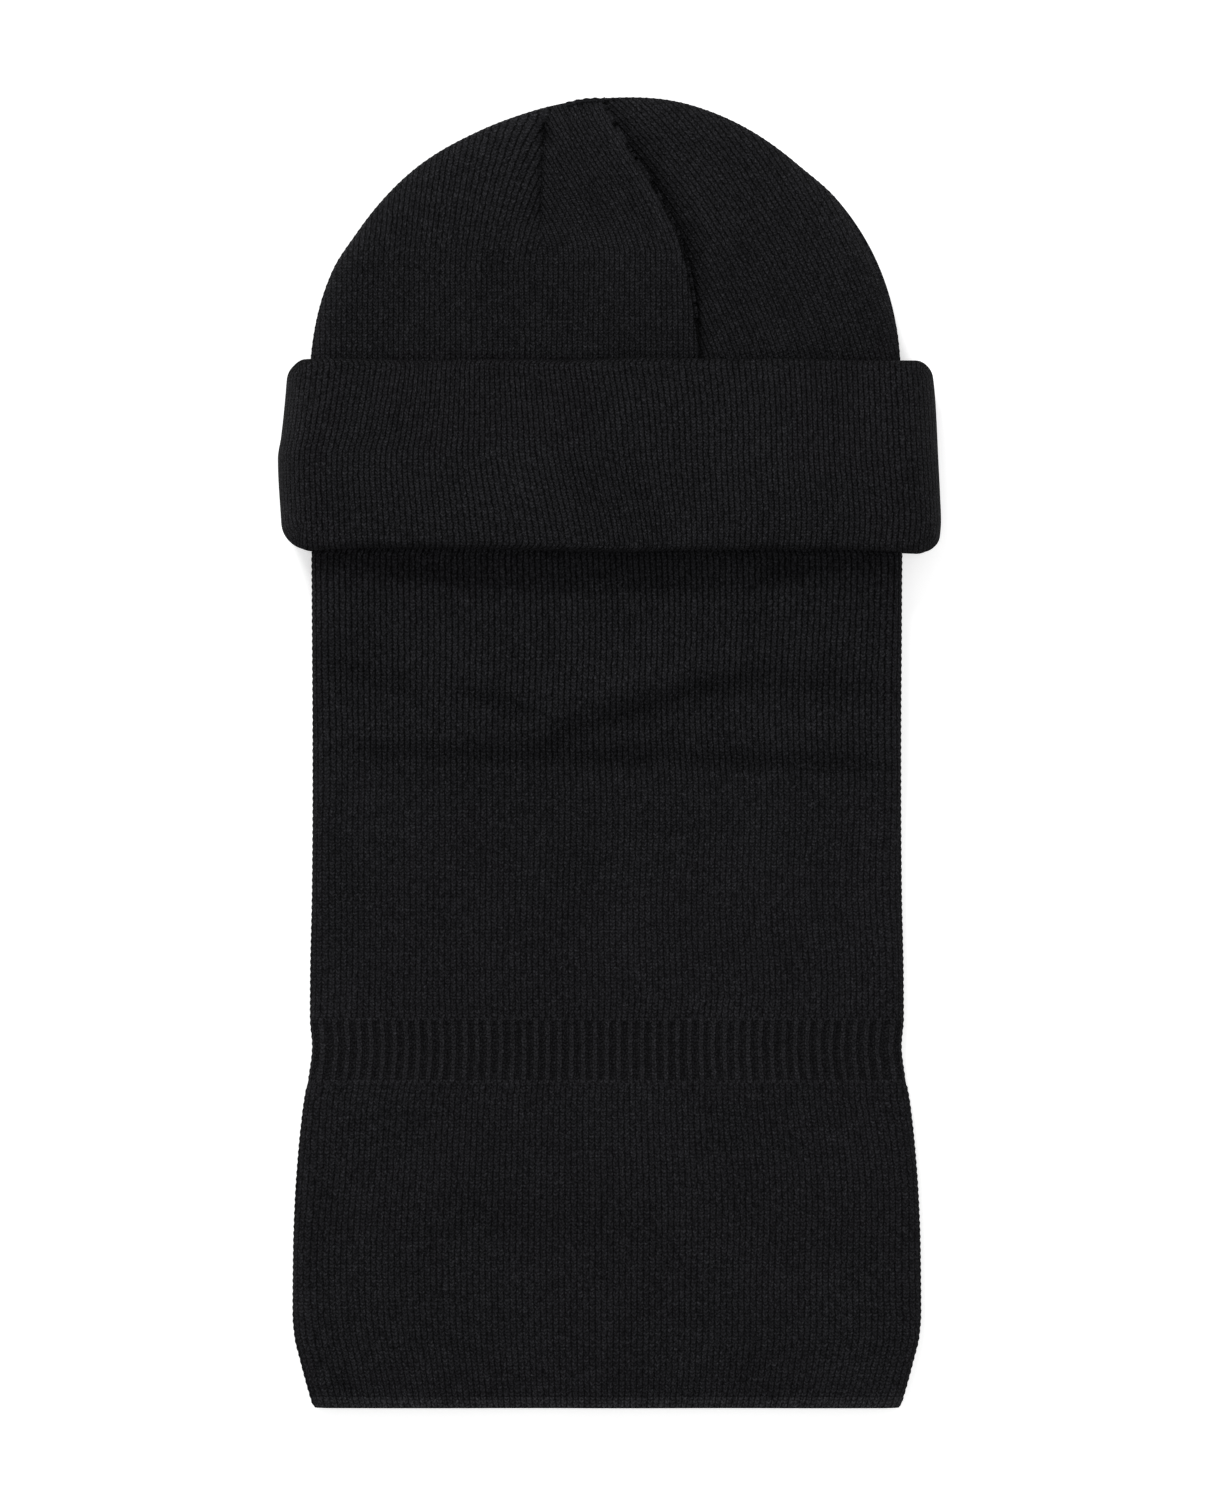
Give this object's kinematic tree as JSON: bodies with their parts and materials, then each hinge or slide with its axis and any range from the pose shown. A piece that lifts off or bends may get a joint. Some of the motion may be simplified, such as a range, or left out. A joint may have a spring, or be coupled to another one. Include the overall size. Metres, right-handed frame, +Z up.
{
  "type": "knit balaclava",
  "caption": "Fine-knit balaclava lying flat: beanie crown with a turned-up cuff that turns down, long neck tube, rib band and a flared skirt that folds up.",
  "frame": {"origin": "on the surface the balaclava lies on, under the middle of its box", "axes": "+Y from the hem to the tip of the crown, +X across the width, +Z up through the layers, front side up"},
  "size_m": [0.2504, 0.498, 0.0244],
  "materials": {
    "crown_knit": "fine knit, matte",
    "cuff_knit": "fine knit, matte",
    "neck_knit": "fine knit, matte",
    "rib_knit": "ribbed knit, matte",
    "skirt_knit": "fine knit, matte",
    "hem_knit": "linked edge, matte",
    "linking_yarn": "linked seam, matte",
    "label_tape": "woven tape, satin"
  },
  "bodies": {
    "beanie": {"crown_front": "crown_knit", "crown_back": "crown_knit", "crown_side_seam_left": "linking_yarn", "crown_side_seam_right": "linking_yarn", "crown_tip_gather": "linking_yarn", "dart_seam_front_left": "linking_yarn", "dart_seam_front_right": "linking_yarn", "dart_seam_back_left": "linking_yarn", "dart_seam_back_right": "linking_yarn", "neck_front": "neck_knit", "neck_back": "neck_knit", "neck_side_seam_left": "linking_yarn", "neck_side_seam_right": "linking_yarn", "face_edge_welt": "rib_knit", "neck_linking_seam": "linking_yarn", "care_label": "label_tape", "rib_band_front": "rib_knit", "rib_band_back": "rib_knit"},
    "cuff_front": {"cuff_front_outer": "cuff_knit", "cuff_front_inner": "cuff_knit", "cuff_wrap_left": "cuff_knit", "cuff_wrap_right": "cuff_knit"},
    "cuff_back": {"cuff_back_outer": "cuff_knit", "cuff_back_inner": "cuff_knit"},
    "skirt": {"skirt_front": "skirt_knit", "skirt_back": "skirt_knit", "skirt_side_seam_left": "linking_yarn", "skirt_side_seam_right": "linking_yarn", "hem_front": "hem_knit", "hem_back": "hem_knit"}
  },
  "joints": [
    {"name": "cuff_front_turn", "type": "hinge", "parent": "beanie", "child": "cuff_front", "pos_m": [0, 0.0794, 0.0214], "axis": [1, 0, 0], "range_deg": [0, 180]},
    {"name": "cuff_back_turn", "type": "hinge", "parent": "beanie", "child": "cuff_back", "pos_m": [0, 0.0785, 0.0021], "axis": [-1, 0, 0], "range_deg": [0, 180]},
    {"name": "skirt_fold", "type": "hinge", "parent": "beanie", "child": "skirt", "pos_m": [0, -0.1254, 0.0102], "axis": [-1, 0, 0], "range_deg": [0, 179]}
  ],
  "couplings": [
    {"joint": "cuff_back_turn", "follows": "cuff_front_turn", "ratio": 1}
  ]
}
